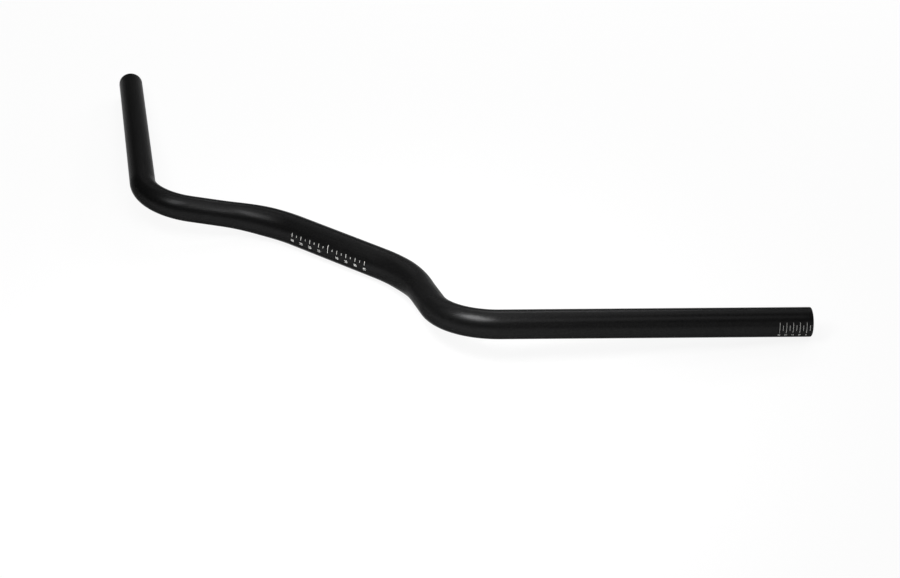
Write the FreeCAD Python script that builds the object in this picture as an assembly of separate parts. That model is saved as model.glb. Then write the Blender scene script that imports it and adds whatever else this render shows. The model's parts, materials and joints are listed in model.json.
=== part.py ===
import FreeCAD, Part
import math
import os

from FreeCAD import Vector

# A bicycle handlebar: one aluminium tube, swaged thinner towards both ends and then bent.
# Millimetres and degrees. The origin is the middle of the stem clamp, +X runs along the clamp
# to the rider's left grip, the bar's front faces -Y and +Z is up. The bar is mirrored in X = 0.

# Tube section
clamp_diameter = 25.4
grip_diameter = 22.2
wall = 2.2
end_round = 0.9

# Lengths and bend radii of the tube's centre line, from the stem clamp to the end of a grip
clamp_straight = 92.0
shoulder_bend_radius = 100.0
shoulder_straight = 35.0
grip_bend_radius = 52.0
grip_straight = 231.0

# Directions of the two outer straights, seen from the clamp
shoulder_forward_angle = 34.0
shoulder_rise_angle = 12.0
grip_back_angle = 39.0
grip_drop_angle = 5.0

# The swaged taper from the clamp's diameter to the grip's, along the centre line
taper_after_clamp = 25.0
taper_length = 47.0

# Circles that carry the skin of the taper
taper_sections = 13

# Most of the wall that the rounding of one edge of a tube end may take
end_round_share = 0.45

# What counts as the same place on the tube
same_place = 0.01

UP = Vector(0, 0, 1)


class Straight:
    """A straight stretch of the centre line."""

    def __init__(self, start, along, length):
        self.start = start
        self.along = along
        self.length = length

    def place(self, distance):
        """Point and direction of the centre line at a distance into the stretch."""
        return self.start + self.along * distance, self.along

    def rod(self, first, last, radius):
        """A round rod of one radius between two distances into the stretch."""
        point, along = self.place(first)
        return Part.makeCylinder(radius, last - first, point, along)


class Bend:
    """An arc of the centre line that turns from one direction to another."""

    def __init__(self, start, along, towards, radius):
        self.start = start
        self.along = along
        self.radius = radius
        self.turn = along.getAngle(towards)
        self.normal = along.cross(towards).normalize()
        self.centre = start + self.normal.cross(along) * radius
        self.length = radius * self.turn

    def place(self, distance):
        """Point and direction of the centre line at a distance into the bend."""
        degrees = math.degrees(distance / self.radius)
        swing = FreeCAD.Rotation(self.normal, degrees)
        point = self.centre + swing.multVec(self.start - self.centre)
        return point, swing.multVec(self.along)

    def rod(self, first, last, radius):
        """A round rod of one radius between two distances into the bend."""
        point, along = self.place(first)
        disc = Part.Face(Part.Wire(Part.makeCircle(radius, point, along)))
        return disc.revolve(self.centre, self.normal, math.degrees((last - first) / self.radius))


def direction(sideways_angle, rise_angle):
    """Unit vector from +X, turned towards +Y by one angle and raised by the other."""
    sideways = math.radians(sideways_angle)
    rise = math.radians(rise_angle)
    level = math.cos(rise)
    return Vector(level * math.cos(sideways), level * math.sin(sideways), math.sin(rise))


def outer_path():
    """The centre line of the +X side, from the end of the clamp straight to the grip's end."""
    shoulder = direction(-shoulder_forward_angle, shoulder_rise_angle)
    grip = direction(grip_back_angle, -grip_drop_angle)
    clamp_end = Vector(clamp_straight / 2, 0, 0)
    path = [Bend(clamp_end, Vector(1, 0, 0), shoulder, shoulder_bend_radius)]
    path.append(Straight(end_of(path[-1]), shoulder, shoulder_straight))
    path.append(Bend(end_of(path[-1]), shoulder, grip, grip_bend_radius))
    path.append(Straight(end_of(path[-1]), grip, grip_straight))
    return path


def end_of(stretch):
    """Last point of a stretch."""
    return stretch.place(stretch.length)[0]


def place_on(path, distance):
    """Point and direction at a distance along a path."""
    for stretch in path[:-1]:
        if distance <= stretch.length:
            return stretch.place(distance)
        distance -= stretch.length
    return path[-1].place(distance)


def circle_on(path, distance, radius):
    """A circle square to the path, with its seam kept on one side of the tube."""
    point, along = place_on(path, distance)
    side = UP.cross(along).normalize()
    turn = FreeCAD.Rotation(side, along.cross(side), along, "ZXY")
    circle = Part.makeCircle(radius)
    circle.Placement = FreeCAD.Placement(point, turn)
    return Part.Wire(circle)


def taper_rod(path, clamp_radius, grip_radius):
    """The swaged stretch: its radius leaves both ends level and falls smoothly between them."""
    circles = []
    for index in range(taper_sections):
        share = index / (taper_sections - 1)
        eased = share * share * (3 - 2 * share)
        radius = clamp_radius + (grip_radius - clamp_radius) * eased
        circles.append(circle_on(path, taper_after_clamp + taper_length * share, radius))
    return Part.makeLoft(circles, True, False)


def side_rods(path, clamp_radius, grip_radius):
    """The solid rods of one side, with one radius before the taper and another after it."""
    rods = [taper_rod(path, clamp_radius, grip_radius)]
    passed = 0.0
    for stretch in path:
        taper_from = min(max(taper_after_clamp - passed, 0.0), stretch.length)
        taper_to = min(max(taper_after_clamp + taper_length - passed, 0.0), stretch.length)
        if taper_from > same_place:
            rods.append(stretch.rod(0.0, taper_from, clamp_radius))
        if stretch.length - taper_to > same_place:
            rods.append(stretch.rod(taper_to, stretch.length, grip_radius))
        passed += stretch.length
    return rods


def whole_rod(path, clamp_radius, grip_radius):
    """The full bar as a solid rod: the clamp straight with both sides."""
    clamp_start = Vector(-clamp_straight / 2, 0, 0)
    clamp = Part.makeCylinder(clamp_radius, clamp_straight, clamp_start, Vector(1, 0, 0))
    sides = side_rods(path, clamp_radius, grip_radius)
    mirrored = [rod.mirror(Vector(0, 0, 0), Vector(1, 0, 0)) for rod in sides]
    return clamp.multiFuse(sides + mirrored)


def rim_edges(tube, end_point):
    """The two round edges of each open end of the tube."""
    edges = []
    for edge in tube.Edges:
        if not isinstance(edge.Curve, Part.Circle):
            continue
        centre = edge.Curve.Center
        beside = Vector(abs(centre.x), centre.y, centre.z)
        if beside.distanceToPoint(end_point) < same_place:
            edges.append(edge)
    return edges


def handlebar():
    """The bent tube, open at both ends, with every edge of the ends rounded."""
    path = outer_path()
    clamp_radius = clamp_diameter / 2
    grip_radius = grip_diameter / 2
    outside = whole_rod(path, clamp_radius, grip_radius)
    inside = whole_rod(path, clamp_radius - wall, grip_radius - wall)
    tube = outside.cut(inside)
    rounding = min(end_round, end_round_share * wall)
    tube = tube.makeFillet(rounding, rim_edges(tube, end_of(path[-1])))
    return tube.Solids[0]


bar = handlebar()
os.makedirs("parts", exist_ok=True)
bar.exportStep("parts/handlebar.step")

half = outer_path()
developed = clamp_straight + 2 * sum(stretch.length for stretch in half)
box = bar.optimalBoundingBox(False, False)
print("tube length along its centre line %.1f mm" % developed)
print("bar %.1f x %.1f x %.1f mm" % (box.XLength, box.YLength, box.ZLength))
print("lowest %.2f mm, solid %.0f mm3, valid %s" % (box.ZMin, bar.Volume, bar.isValid()))
print("grip end at", end_of(half[-1]), "pointing", half[-1].along)
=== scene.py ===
import json
import math

import bmesh
import bpy
from mathutils import Matrix, Vector


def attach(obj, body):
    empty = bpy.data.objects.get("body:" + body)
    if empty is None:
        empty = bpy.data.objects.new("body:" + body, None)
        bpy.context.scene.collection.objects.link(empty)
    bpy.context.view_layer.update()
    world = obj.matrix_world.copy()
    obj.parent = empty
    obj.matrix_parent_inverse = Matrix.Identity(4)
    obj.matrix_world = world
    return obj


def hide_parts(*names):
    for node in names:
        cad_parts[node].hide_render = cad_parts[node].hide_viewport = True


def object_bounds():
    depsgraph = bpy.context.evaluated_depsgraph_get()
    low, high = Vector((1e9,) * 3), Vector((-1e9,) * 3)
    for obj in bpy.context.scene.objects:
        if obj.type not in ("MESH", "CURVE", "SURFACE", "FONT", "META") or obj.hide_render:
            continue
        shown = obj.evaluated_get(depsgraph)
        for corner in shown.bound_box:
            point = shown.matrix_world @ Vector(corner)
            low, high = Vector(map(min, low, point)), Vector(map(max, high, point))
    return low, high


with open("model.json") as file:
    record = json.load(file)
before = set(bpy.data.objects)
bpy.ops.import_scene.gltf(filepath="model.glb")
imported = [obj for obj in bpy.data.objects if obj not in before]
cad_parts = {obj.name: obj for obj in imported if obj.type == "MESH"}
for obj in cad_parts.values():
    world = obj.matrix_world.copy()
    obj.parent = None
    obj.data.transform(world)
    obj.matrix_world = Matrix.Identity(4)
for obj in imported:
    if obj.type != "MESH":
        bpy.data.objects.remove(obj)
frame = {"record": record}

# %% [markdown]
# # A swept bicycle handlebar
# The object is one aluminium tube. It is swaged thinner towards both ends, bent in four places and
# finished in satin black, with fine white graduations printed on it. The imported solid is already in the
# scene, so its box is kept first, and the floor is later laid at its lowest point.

MM = 0.001
solid_low, solid_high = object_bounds()
mounts = {mount["name"]: mount for mount in frame["record"]["mounts"]}
print("solid from", solid_low, "to", solid_high)
print("mounts:", sorted(mounts))

# %% [markdown]
# ## The camera
# A product photograph of a long thin thing is taken with a longish lens, so that the near grip doesn't
# swell. A constraint could aim the camera at the bar, but it would hold it level, and a hand rarely does.
# So three turns place it: round the bar, up from the floor, and a small roll. Turning about Z, then X,
# then Z again gives those three in order.

# %% Camera
QUARTER_TURN = math.radians(90)
CAMERA_PLACE = Vector((0.83922, -0.79544, 0.76241))
CAMERA_ROUND = math.radians(42.158)
CAMERA_UP = math.radians(35.333)
CAMERA_ROLL = math.radians(-6.356)
LENS = 66.93
SENSOR = 36.0

lens = bpy.data.cameras.new("camera")
lens.sensor_fit = "HORIZONTAL"
lens.sensor_width = SENSOR
lens.lens = LENS
camera = bpy.data.objects.new("camera", lens)
around = Matrix.Rotation(CAMERA_ROUND, 4, "Z")
tilt = Matrix.Rotation(QUARTER_TURN - CAMERA_UP, 4, "X")
roll = Matrix.Rotation(CAMERA_ROLL, 4, "Z")
camera.matrix_world = Matrix.Translation(CAMERA_PLACE) @ around @ tilt @ roll
bpy.context.scene.collection.objects.link(camera)
bpy.context.scene.camera = camera
print("camera %.2f m from the clamp" % CAMERA_PLACE.length)

# %% [markdown]
# ## The centre line
# A bender feeds straight tube and turns it round a die, so the real centre line is straights joined by
# arcs. A curve object could carry a bevel along it, but a round profile that follows those very moves
# keeps the rings square to the tube and their places known. The mounts give the radii and lengths of the
# clamp and the grips, the bore's radius and the grip's direction. The rest are the bender's own values.

# %% Measures of the tube
CLAMP_RADIUS = mounts["stem_clamp"]["dims"]["r_mm"] * MM
CLAMP_HALF = mounts["stem_clamp"]["dims"]["length_mm"] / 2 * MM
GRIP_RADIUS = mounts["left_grip"]["dims"]["r_mm"] * MM
WALL = GRIP_RADIUS - mounts["left_end_bore"]["dims"]["r_mm"] * MM
END_ROUND = 0.9 * MM
GRIP_STRAIGHT = mounts["left_grip"]["dims"]["length_mm"] * MM + END_ROUND
SHOULDER_STRAIGHT = 35 * MM
SHOULDER_BEND_RADIUS = 100 * MM
GRIP_BEND_RADIUS = 52 * MM
SHOULDER_FORWARD = math.radians(34)
SHOULDER_RISE = math.radians(12)

clamp_along = Vector((1, 0, 0))
shoulder_along = Vector((
    math.cos(SHOULDER_RISE) * math.cos(SHOULDER_FORWARD),
    -math.cos(SHOULDER_RISE) * math.sin(SHOULDER_FORWARD),
    math.sin(SHOULDER_RISE),
))
grip_along = Vector(mounts["left_grip"]["axis"]).normalized()
print("wall %.2f mm, grips %.1f mm long" % (WALL / MM, GRIP_STRAIGHT / MM))

# %% The swaged taper
TAPER_AFTER_CLAMP = 25 * MM
TAPER_LENGTH = 47 * MM


def tube_radius(distance):
    """Outer radius at a distance along the centre line from the middle of the clamp."""
    share = (distance - CLAMP_HALF - TAPER_AFTER_CLAMP) / TAPER_LENGTH
    share = min(max(share, 0.0), 1.0)
    eased = share * share * (3 - 2 * share)
    return CLAMP_RADIUS + (GRIP_RADIUS - CLAMP_RADIUS) * eased


half_way = CLAMP_HALF + TAPER_AFTER_CLAMP + TAPER_LENGTH / 2
print("radius %.2f mm half way down the taper" % (tube_radius(half_way) / MM))

# %% [markdown]
# ## The tube's skin
# The tube starts as one circle at the middle of the clamp. Each step extrudes that ring's edges and
# carries the new ring on: forwards along a straight, or round the die's axis in a bend. Scaling a ring
# about its own middle makes the swaged taper. Each vertex also keeps where it would lie on the tube
# before bending, so that a pattern can run along the tube later and has no seam.

# %% One ring carried on
STRAIGHT_STEP = 6 * MM
BEND_STEP = math.radians(1.5)


def next_ring(bm, ring, move, old_centre, size):
    """Extrudes a ring, carries it by a move and scales it about its own middle."""
    grown = bmesh.ops.extrude_edge_only(bm, edges=ring)["geom"]
    verts = [part for part in grown if isinstance(part, bmesh.types.BMVert)]
    fresh = set(verts)
    edges = [part for part in grown if isinstance(part, bmesh.types.BMEdge)]
    edges = [edge for edge in edges if fresh.issuperset(edge.verts)]
    bmesh.ops.transform(bm, matrix=move, verts=verts)
    centre = move @ old_centre
    bmesh.ops.scale(bm, vec=(size, size, size), space=Matrix.Translation(-centre), verts=verts)
    return edges, verts, centre


def straight_moves(along, length):
    """The moves that carry a ring down a straight, and how far each goes."""
    count = math.ceil(length / STRAIGHT_STEP)
    return [Matrix.Translation(along * length / count)] * count, length / count


def bend_moves(start, along, towards, radius):
    """The moves that carry a ring round a bend from one direction to another, and how far each goes."""
    turn = along.angle(towards)
    axis = along.cross(towards).normalized()
    die = start + axis.cross(along) * radius
    count = math.ceil(turn / BEND_STEP)
    swing = Matrix.Rotation(turn / count, 4, axis)
    move = Matrix.Translation(die) @ swing @ Matrix.Translation(-die)
    return [move] * count, radius * turn / count


# %% Half of the skin
ROUND_SEGMENTS = 96

bm = bmesh.new()
unbent = bm.verts.layers.float_vector.new("unbent")
lie_along_x = Matrix.Rotation(QUARTER_TURN, 4, "Y")
first = bmesh.ops.create_circle(bm, segments=ROUND_SEGMENTS, radius=CLAMP_RADIUS, matrix=lie_along_x)
for vert in first["verts"]:
    vert[unbent] = (0.0, vert.co.y, vert.co.z)
ring = list(bm.edges)
centre = Vector((0, 0, 0))
distance = 0.0


def follow(moves, step):
    """Carries the last ring through a list of moves and keeps each vertex's place before bending."""
    global ring, centre, distance
    for move in moves:
        size = tube_radius(distance + step) / tube_radius(distance)
        distance += step
        ring, verts, centre = next_ring(bm, ring, move, centre, size)
        for vert in verts:
            vert[unbent] = (distance, vert[unbent].y, vert[unbent].z)


follow(*straight_moves(clamp_along, CLAMP_HALF))
follow(*bend_moves(centre, clamp_along, shoulder_along, SHOULDER_BEND_RADIUS))
follow(*straight_moves(shoulder_along, SHOULDER_STRAIGHT))
follow(*bend_moves(centre, shoulder_along, grip_along, GRIP_BEND_RADIUS))
follow(*straight_moves(grip_along, GRIP_STRAIGHT))
grip_end = centre.copy()
print("half the tube is %.1f mm long and ends at" % (distance / MM), grip_end / MM)

# %% [markdown]
# ## The wall and the rims
# The bar is the same on both sides, so the half is mirrored at the clamp and the two first rings are
# merged. A real tube has a wall, and its open ends show it. A boolean could cut the bore, but it would
# break up the rows of faces. Solidify keeps them: once the skin's normals all point outwards, it adds the
# inner skin and closes the two ends. The inner skin gets a material of its own, because no blasting
# reaches it.

# %% The other half and the wall
BORE_SLOT = 1
MERGE = 0.001 * MM

bmesh.ops.mirror(bm, geom=bm.verts[:] + bm.edges[:] + bm.faces[:], axis="X", merge_dist=MERGE)
bmesh.ops.remove_doubles(bm, verts=bm.verts[:], dist=MERGE)
for vert in bm.verts:
    if vert.co.x < 0:
        vert[unbent] = (-vert[unbent].x, vert[unbent].y, vert[unbent].z)
bmesh.ops.recalc_face_normals(bm, faces=bm.faces[:])
inner = bmesh.ops.solidify(bm, geom=bm.faces[:], thickness=WALL)["geom"]
inner_faces = [part for part in inner if isinstance(part, bmesh.types.BMFace)]
for face in inner_faces:
    face.material_index = BORE_SLOT
print("inner skin has %d of %d faces" % (len(inner_faces), len(bm.faces)))

# %% [markdown]
# The sawn ends are broken with a small round on the real thing, and a bevel of both rims does the same.
# Such an edge is the first to be rubbed by benches and by grips that are pushed on. A material could look
# for sharp edges by itself, but a value kept in the vertices is surer: it is highest where the round
# turns halfway between the skin and the end, and the finish reads there how far it is rubbed.

# %% The rounded rims
RIM_SEGMENTS = 6
RIM_TURN = math.radians(60)

rims = [edge for edge in bm.edges if edge.calc_face_angle(0) > RIM_TURN]
rubbed = bm.verts.layers.float.new("rubbed")
rounded = bmesh.ops.bevel(
    bm, geom=rims, offset=END_ROUND, offset_type="OFFSET", affect="EDGES",
    segments=RIM_SEGMENTS, profile=0.5, material=-1,
)
bm.normal_update()
for vert in rounded["verts"]:
    outwards = Vector((math.copysign(grip_along.x, vert.co.x), grip_along.y, grip_along.z))
    vert[rubbed] = math.sin(2 * min(vert.normal.angle(outwards), QUARTER_TURN))
most = max(vert[rubbed] for vert in bm.verts)
print("rims have %d rounded vertices, rubbed by up to %.2f" % (len(rounded["verts"]), most))
open_edges = sum(1 for edge in bm.edges if not edge.is_manifold)
print("tube has %d faces, %d open edges" % (len(bm.faces), open_edges))

# %% [markdown]
# ## The black finish
# The aluminium is blasted and then finished black, so it is dark, satin and very finely grained, and it
# shows soft streaks of light and no mirror images. A painted image could carry the grain, but it would
# blur close up, so noise textures make it. A broad one lets the colour drift. A fine mottle adds lighter
# specks, varies the gloss a little and, with a still finer grain, makes the bump. They read the tube's
# unbent place, so that the grain has the same scale on every stretch. On the rims, rubbing makes the
# black smoother and thinner.

# %% Patterns in a material
NOISE_LOW = 0.3
NOISE_HIGH = 0.7


def new_material(name):
    """A node material, its node tree and its shader."""
    material = bpy.data.materials.new(name)
    material.use_nodes = True
    return material, material.node_tree, material.node_tree.nodes["Principled BSDF"]


def kept_value(tree, name):
    """A node that reads a value kept in the vertices of the mesh."""
    node = tree.nodes.new("ShaderNodeAttribute")
    node.attribute_name = name
    return node


def noise(tree, coordinates, scale, detail):
    """A noise texture at a scale, read at the given coordinates."""
    node = tree.nodes.new("ShaderNodeTexNoise")
    node.inputs["Scale"].default_value = scale
    node.inputs["Detail"].default_value = detail
    tree.links.new(coordinates, node.inputs["Vector"])
    return node.outputs["Fac"]


def ranged(tree, value, low, high):
    """Stretches a noise's usual span to run from low to high."""
    node = tree.nodes.new("ShaderNodeMapRange")
    node.inputs["From Min"].default_value = NOISE_LOW
    node.inputs["From Max"].default_value = NOISE_HIGH
    node.inputs["To Min"].default_value = low
    node.inputs["To Max"].default_value = high
    tree.links.new(value, node.inputs["Value"])
    return node.outputs["Result"]


def tinted(tree, value, dark, light):
    """A colour that runs from dark to light over a noise's usual span."""
    node = tree.nodes.new("ShaderNodeValToRGB")
    start, end = node.color_ramp.elements
    start.position = NOISE_LOW
    start.color = dark
    end.position = NOISE_HIGH
    end.color = light
    tree.links.new(value, node.inputs["Fac"])
    return node.outputs["Color"]


# %% Patterns put together
def blended(tree, kind, share, plain, changed):
    """A colour or a number that goes from plain to changed with a share."""
    node = tree.nodes.new("ShaderNodeMix")
    node.data_type = kind
    tree.links.new(share, node.inputs["Factor"])
    tree.links.new(plain, node.inputs["A"])
    node.inputs["B"].default_value = changed
    return node.outputs["Result"]


def combined(tree, operation, one, other):
    """Two values put together by a Math node."""
    node = tree.nodes.new("ShaderNodeMath")
    node.operation = operation
    tree.links.new(one, node.inputs[0])
    tree.links.new(other, node.inputs[1])
    return node.outputs["Value"]


def bumped(tree, height, strength, depth, under=None):
    """A bump of a height pattern, on top of another bump where one is given."""
    node = tree.nodes.new("ShaderNodeBump")
    node.inputs["Strength"].default_value = strength
    node.inputs["Distance"].default_value = depth
    tree.links.new(height, node.inputs["Height"])
    if under is not None:
        tree.links.new(under, node.inputs["Normal"])
    return node.outputs["Normal"]


# %% Patterns led to the shader
EDGE_SHINE = 0.05
EDGE_TINT = (0.35, 0.35, 0.35, 1)


def lead(tree, shader, colour, roughness, normal):
    """Leads a finish's colour, roughness and bump to its shader."""
    tree.links.new(colour, shader.inputs["Base Color"])
    tree.links.new(roughness, shader.inputs["Roughness"])
    tree.links.new(normal, shader.inputs["Normal"])


def dark_metal(shader, share):
    """Makes a share of the finish metal, and keeps it from going pale at its edges."""
    shader.inputs["Metallic"].default_value = share
    shader.inputs["Specular IOR Level"].default_value = EDGE_SHINE
    shader.inputs["Specular Tint"].default_value = EDGE_TINT


# %% Black finish
BLACK_DARK = (0.0118, 0.0119, 0.0121, 1)
BLACK_LIGHT = (0.0138, 0.0138, 0.0140, 1)
BLACK_SPECK = (0.0186, 0.0186, 0.0188, 1)
BLACK_RUBBED = (0.036, 0.036, 0.038, 1)
RUBBED_ROUGHNESS = 0.24
BLACK_METAL = 0.75


def black_finish():
    """Satin black over blasted aluminium."""
    material, tree, shader = new_material("black_finish")
    unbent_place = kept_value(tree, "unbent").outputs["Vector"]
    drift = noise(tree, unbent_place, scale=28, detail=3)
    mottle = noise(tree, unbent_place, scale=900, detail=2)
    grain = noise(tree, unbent_place, scale=2600, detail=2)
    patches = ranged(tree, noise(tree, unbent_place, scale=400, detail=3), low=0.2, high=1.0)
    rubbed_share = combined(tree, "MULTIPLY", kept_value(tree, "rubbed").outputs["Fac"], patches)
    colour = tinted(tree, drift, BLACK_DARK, BLACK_LIGHT)
    colour = blended(tree, "RGBA", ranged(tree, mottle, low=0.0, high=1.0), colour, BLACK_SPECK)
    colour = blended(tree, "RGBA", rubbed_share, colour, BLACK_RUBBED)
    roughness = ranged(tree, mottle, low=0.30, high=0.34)
    roughness = blended(tree, "FLOAT", rubbed_share, roughness, RUBBED_ROUGHNESS)
    coarse = bumped(tree, mottle, strength=0.6, depth=0.06 * MM)
    fine = bumped(tree, grain, strength=0.5, depth=0.015 * MM, under=coarse)
    lead(tree, shader, colour, roughness, fine)
    dark_metal(shader, BLACK_METAL)
    return material


# %% [markdown]
# ## The bore
# Inside, the tube keeps the fine lengthwise lines of the mandrel that it was drawn over, and the black
# goes on thinner, so the bore is greyer than the outside. Grooves would be far too much geometry for
# that: a noise that is stretched along the unbent tube gives the lines, and it has no seam.

# %% Bore finish
BORE_DARK = (0.030, 0.030, 0.031, 1)
BORE_LIGHT = (0.065, 0.065, 0.067, 1)
BORE_METAL = 0.6
DRAWN_OUT = (0.02, 1, 1)


def bore_finish():
    """Thin black over the drawn lines inside the tube."""
    material, tree, shader = new_material("bore_finish")
    unbent_place = kept_value(tree, "unbent").outputs["Vector"]
    stretch = tree.nodes.new("ShaderNodeMapping")
    stretch.inputs["Scale"].default_value = DRAWN_OUT
    tree.links.new(unbent_place, stretch.inputs["Vector"])
    lines = noise(tree, stretch.outputs["Vector"], scale=1500, detail=3)
    patches = noise(tree, unbent_place, scale=90, detail=3)
    colour = tinted(tree, lines, BORE_DARK, BORE_LIGHT)
    roughness = ranged(tree, patches, low=0.34, high=0.46)
    lead(tree, shader, colour, roughness, bumped(tree, lines, strength=0.3, depth=0.01 * MM))
    dark_metal(shader, BORE_METAL)
    return material


# %% [markdown]
# ## The tube as one piece
# The real bar is one piece, so the mesh becomes one object with both finishes. Its place is in its mesh
# and the object stays at the origin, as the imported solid's does, and it stands for that solid. The rings
# are close and the rims are round, so smooth shading needs no sharp edges.

# %% The dressed tube
def finished(name, bm, *materials):
    """Turns a bmesh into a smooth-shaded object at the origin that rides with the bar."""
    mesh = bpy.data.meshes.new(name)
    bm.to_mesh(mesh)
    bm.free()
    mesh.shade_smooth()
    for material in materials:
        mesh.materials.append(material)
    piece = bpy.data.objects.new(name, mesh)
    bpy.context.scene.collection.objects.link(piece)
    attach(piece, "root")
    return piece


bar = finished("handlebar_tube", bm, black_finish(), bore_finish())
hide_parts("handlebar")
print(bar.name, "has", len(bar.data.polygons), "faces")

# %% [markdown]
# ## The printed graduations
# A mechanic who cuts the bar shorter needs to cut both ends alike, so a pad prints a short scale round
# the front of each grip's end, with plain numbers. A second scale on the clamp helps to centre the bar
# in the stem. Print is a film of ink. A texture could carry it, but a thin mesh stays sharp close up: it
# is laid out flat as thin plates, sliced into narrow bands and then wrapped onto the tube, so the ink
# follows the round surface.

# %% Flat print
INK_ABOVE = 0.03 * MM
INK_BELOW = 0.03 * MM
INK_THICK = INK_ABOVE + INK_BELOW
INK_MIDDLE = (INK_ABOVE - INK_BELOW) / 2
DIGIT_SHARE = 0.72
DIGIT_STEPS = 4
BOLDER = 0.03


def flat_stroke(bm, middle, width, height):
    """A plate of ink, square to the sheet, about its middle."""
    size = Matrix.Diagonal((width, height, INK_THICK, 1))
    place = Matrix.Translation((middle[0], middle[1], INK_MIDDLE))
    bmesh.ops.create_cube(bm, size=1, matrix=place @ size)


def flat_number(bm, text, middle, height):
    """A plain number of ink, about its middle."""
    words = bpy.data.curves.new("number", "FONT")
    words.body = text
    words.align_x = "CENTER"
    words.align_y = "CENTER"
    words.size = height / DIGIT_SHARE
    words.extrude = INK_THICK / 2
    words.offset = height * BOLDER
    words.resolution_u = DIGIT_STEPS
    holder = bpy.data.objects.new("number", words)
    mesh = bpy.data.meshes.new_from_object(holder)
    mesh.transform(Matrix.Translation((middle[0], middle[1], INK_MIDDLE)))
    bm.from_mesh(mesh)
    bpy.data.objects.remove(holder)
    bpy.data.curves.remove(words)
    bpy.data.meshes.remove(mesh)


# %% Print wrapped onto the tube
SLICE = 0.4 * MM


def wrap(bm, start, right, radius):
    """Slices flat print into bands and wraps it round a straight stretch of the tube."""
    low = min(vert.co.y for vert in bm.verts)
    high = max(vert.co.y for vert in bm.verts)
    bands = math.ceil((high - low) / SLICE)
    for index in range(1, bands):
        cut = Vector((0, low + (high - low) * index / bands, 0))
        everything = bm.verts[:] + bm.edges[:] + bm.faces[:]
        bmesh.ops.bisect_plane(bm, geom=everything, dist=MERGE, plane_co=cut, plane_no=(0, 1, 0))
    bmesh.ops.remove_doubles(bm, verts=bm.verts[:], dist=MERGE)
    front = right.cross(Vector((0, 0, 1))).normalized()
    up = front.cross(right)
    for vert in bm.verts:
        angle = vert.co.y / radius
        outwards = front * math.cos(angle) + up * math.sin(angle)
        vert.co = start + right * vert.co.x + outwards * (radius + vert.co.z)
    bmesh.ops.recalc_face_normals(bm, faces=bm.faces[:])


# %% [markdown]
# ## The ink
# White printing ink is matt and never quite even: it is thinner where the tube's grain shows through. A
# fine noise in its colour and a little bump are enough at this size.

# %% White ink
INK_THIN = (0.62, 0.62, 0.60, 1)
INK_FULL = (0.78, 0.78, 0.76, 1)


def white_ink():
    """Matt white print."""
    material, tree, shader = new_material("white_ink")
    place = tree.nodes.new("ShaderNodeTexCoord")
    speckle = noise(tree, place.outputs["Object"], scale=3000, detail=2)
    colour = tinted(tree, speckle, INK_THIN, INK_FULL)
    roughness = ranged(tree, speckle, low=0.5, high=0.65)
    lead(tree, shader, colour, roughness, bumped(tree, speckle, strength=0.3, depth=0.01 * MM))
    return material


ink = white_ink()
print("ink:", ink.name)

# %% [markdown]
# ## Scales on the grips and the clamp
# Each grip has a long line every 5 mm and a short one between, on the side that faces forwards, with
# the numbers below the long lines. The clamp's scale starts at a tall line in the middle and has a line
# every 5 mm to both sides, with a number below every second one. A reader stands before the bar, so all
# the print reads from the left to the right of that reader.

# %% Grip scales
LINE = 0.27 * MM
SCALE_HEIGHT = math.radians(11.8) * GRIP_RADIUS
LONG_LINE = math.radians(44.6) * GRIP_RADIUS
SHORT_LINE = math.radians(23) * GRIP_RADIUS
NUMBER_HEIGHT = math.radians(-22.5) * GRIP_RADIUS
NUMBER_SIZE = 1.5 * MM
LINE_STEP = 2.5 * MM
LINE_COUNT = 10


def grip_scale(side):
    """The scale at the end of one grip: side is 1 for the grip at +X and -1 for the other."""
    bm = bmesh.new()
    for index in range(1, LINE_COUNT + 1):
        from_end = index * LINE_STEP
        long_one = index % 2 == 0
        place = -side * from_end
        flat_stroke(bm, (place, SCALE_HEIGHT), LINE, LONG_LINE if long_one else SHORT_LINE)
        if long_one:
            flat_number(bm, "%d" % round(from_end / MM), (place, NUMBER_HEIGHT), NUMBER_SIZE)
    end = Vector((side * grip_end.x, grip_end.y, grip_end.z))
    right = Vector((grip_along.x, side * grip_along.y, side * grip_along.z))
    wrap(bm, end, right, GRIP_RADIUS)
    return bm


for side, name in ((1, "left_grip_scale"), (-1, "right_grip_scale")):
    scale = finished(name, grip_scale(side), ink)
    print(name, "has", len(scale.data.polygons), "faces")

# %% Clamp scale
CLAMP_SCALE_HEIGHT = math.radians(22) * CLAMP_RADIUS
CLAMP_NUMBER_HEIGHT = math.radians(-1) * CLAMP_RADIUS
CLAMP_STEP = 5 * MM
CLAMP_LINES = 8
CLAMP_STROKE = 0.45 * MM
CLAMP_LINE = 3.4 * MM
CLAMP_MIDDLE_LINE = 7 * MM
CLAMP_NUMBER_SIZE = 2.4 * MM

bm = bmesh.new()
flat_stroke(bm, (0, CLAMP_SCALE_HEIGHT), CLAMP_STROKE, CLAMP_MIDDLE_LINE)
for index in range(1, CLAMP_LINES + 1):
    for side in (1, -1):
        place = side * index * CLAMP_STEP
        long_one = index % 2 == 0
        height = CLAMP_LINE if long_one else CLAMP_LINE / 2
        flat_stroke(bm, (place, CLAMP_SCALE_HEIGHT), CLAMP_STROKE, height)
        if long_one:
            text = "%d" % round(index * CLAMP_STEP / MM)
            flat_number(bm, text, (place, CLAMP_NUMBER_HEIGHT), CLAMP_NUMBER_SIZE)
wrap(bm, Vector((0, 0, 0)), clamp_along, CLAMP_RADIUS)
scale = finished("clamp_scale", bm, ink)
print("clamp_scale has", len(scale.data.polygons), "faces")

# %% [markdown]
# ## The floor
# The bar lies on a white studio sweep, a floor whose far edge turns up as a low wall. A white world could
# stand behind the bar instead, but it would take no shadow. For what the camera and reflections see, the
# floor is mostly a plain white of strength 1, and the rest is a lit surface, which keeps the soft shadow
# under the bar.

# %% Floor
FLOOR_RADIUS = 30.0
FLOOR_SEGMENTS = 64
FLOOR_WALL = 2.5

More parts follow.
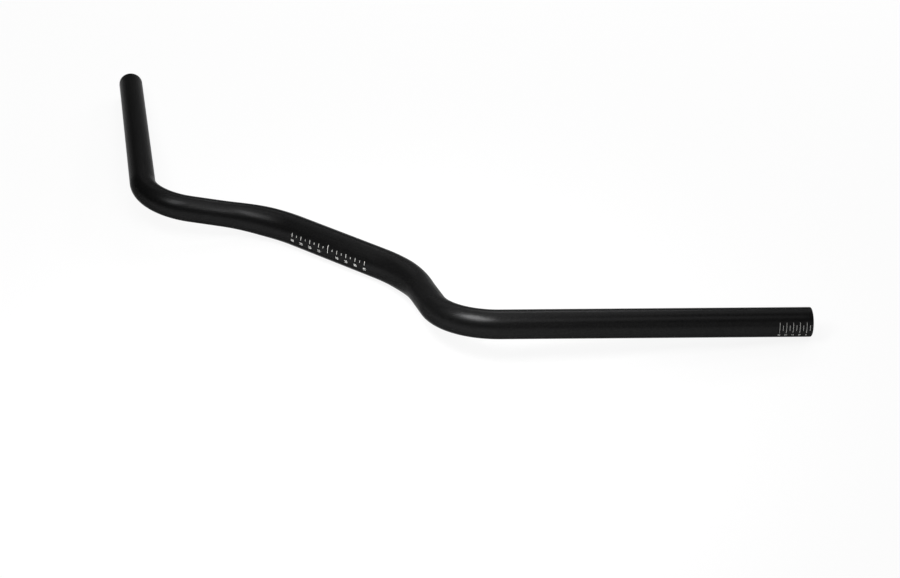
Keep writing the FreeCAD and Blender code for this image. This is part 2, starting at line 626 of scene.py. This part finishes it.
bm = bmesh.new()
bmesh.ops.create_circle(bm, cap_ends=True, segments=FLOOR_SEGMENTS, radius=FLOOR_RADIUS)
bmesh.ops.translate(bm, vec=(0, 0, solid_low.z), verts=bm.verts[:])
wall = bmesh.ops.extrude_edge_only(bm, edges=bm.edges[:])["geom"]
wall_top = [part for part in wall if isinstance(part, bmesh.types.BMVert)]
bmesh.ops.translate(bm, vec=(0, 0, FLOOR_WALL), verts=wall_top)
floor_mesh = bpy.data.meshes.new("floor")
bm.to_mesh(floor_mesh)
bm.free()
floor = bpy.data.objects.new("floor", floor_mesh)
bpy.context.scene.collection.objects.link(floor)
print("floor at %.1f mm" % (solid_low.z / MM))

# %% Floor paint
FLOOR_WHITE = (0.9, 0.9, 0.9, 1)
SHOWN_WHITE = 0.89


def floor_paint():
    """Matt white that the camera and reflections see mostly as plain white."""
    material, tree, shader = new_material("floor_paint")
    shader.inputs["Base Color"].default_value = FLOOR_WHITE
    shader.inputs["Roughness"].default_value = 1.0
    shader.inputs["Specular IOR Level"].default_value = 0.0
    glow = tree.nodes.new("ShaderNodeEmission")
    rays = tree.nodes.new("ShaderNodeLightPath")
    seen = combined(tree, "MAXIMUM", rays.outputs["Is Camera Ray"], rays.outputs["Is Glossy Ray"])
    seen = combined(tree, "MAXIMUM", seen, rays.outputs["Is Transmission Ray"])
    share = tree.nodes.new("ShaderNodeMath")
    share.operation = "MULTIPLY"
    share.inputs[1].default_value = SHOWN_WHITE
    tree.links.new(seen, share.inputs[0])
    mix = tree.nodes.new("ShaderNodeMixShader")
    tree.links.new(share.outputs["Value"], mix.inputs["Fac"])
    tree.links.new(shader.outputs["BSDF"], mix.inputs[1])
    tree.links.new(glow.outputs["Emission"], mix.inputs[2])
    tree.links.new(mix.outputs["Shader"], tree.nodes["Material Output"].inputs["Surface"])
    return material


floor_mesh.materials.append(floor_paint())
print("floor paint:", floor_mesh.materials[0].name)

# %% [markdown]
# ## The light
# A lamp with a small face would draw hard streaks on a dark tube, so the light comes from soft panels.
# Most of them hang level over the floor. The key panel in front gives the long streak on the shoulder. A
# small one hangs low over the near bend and makes its bright patch, and a grid on it keeps its light off
# the rest. The wide one overhead and the two behind light the top of the tube, and two narrower ones add
# to its sides. Three more stand round the bar and face it, and a black tube needs them to look round at
# its edges. The room itself stays dim, so the side towards the camera is dark.

# %% Hanging panels
PANEL_HEIGHT = 1.25
NEAR_TURN = math.radians(-25)
NEAR_GRID = math.radians(110)


def panel(name, place, width, depth, power):
    """A rectangular soft light that hangs level and faces down."""
    lamp = bpy.data.lights.new(name, "AREA")
    lamp.shape = "RECTANGLE"
    lamp.size = width
    lamp.size_y = depth
    lamp.energy = power
    holder = bpy.data.objects.new(name, lamp)
    holder.location = place
    bpy.context.scene.collection.objects.link(holder)
    return holder


panel("key_panel", (-0.22, -0.57, PANEL_HEIGHT), width=0.3, depth=0.8, power=7.6)
near = panel("near_panel", (0.139, -0.154, 0.34), width=0.225, depth=0.14, power=0.86)
near.rotation_euler.z = NEAR_TURN
near.data.spread = NEAR_GRID
panel("overhead_panel", (-0.1, 0.5, PANEL_HEIGHT), width=0.8, depth=1.6, power=4.4)
panel("side_panel", (-0.55, 0.35, PANEL_HEIGHT), width=0.35, depth=0.35, power=1.2)
panel("right_panel", (0.75, -0.3, PANEL_HEIGHT), width=0.25, depth=1.0, power=1.8)
panel("back_left_panel", (-0.9, 1.8, PANEL_HEIGHT), width=0.6, depth=1.0, power=22)
panel("back_right_panel", (0.9, 1.9, PANEL_HEIGHT), width=0.8, depth=0.8, power=12)

# %% Standing panels
STANDING_SIZE = 1.0


def standing_panel(name, place, power):
    """A square soft light that stands at a place and faces the middle of the clamp."""
    holder = panel(name, place, STANDING_SIZE, STANDING_SIZE, power)
    holder.rotation_euler = (-Vector(place)).to_track_quat("-Z", "Y").to_euler()


standing_panel("back_panel", (0.2, 2.5, 1.0), power=16)
standing_panel("left_panel", (-1.6, 1.2, 1.25), power=2.8)
standing_panel("front_panel", (1.9, -1.0, 0.9), power=2.2)

# %% Room
ROOM_GREY = (0.02, 0.02, 0.02, 1)

room = bpy.data.worlds.new("room")
room.use_nodes = True
room.node_tree.nodes["Background"].inputs["Color"].default_value = ROOM_GREY
bpy.context.scene.world = room
bpy.context.scene.view_settings.view_transform = "Standard"
print("room grey:", ROOM_GREY[0])
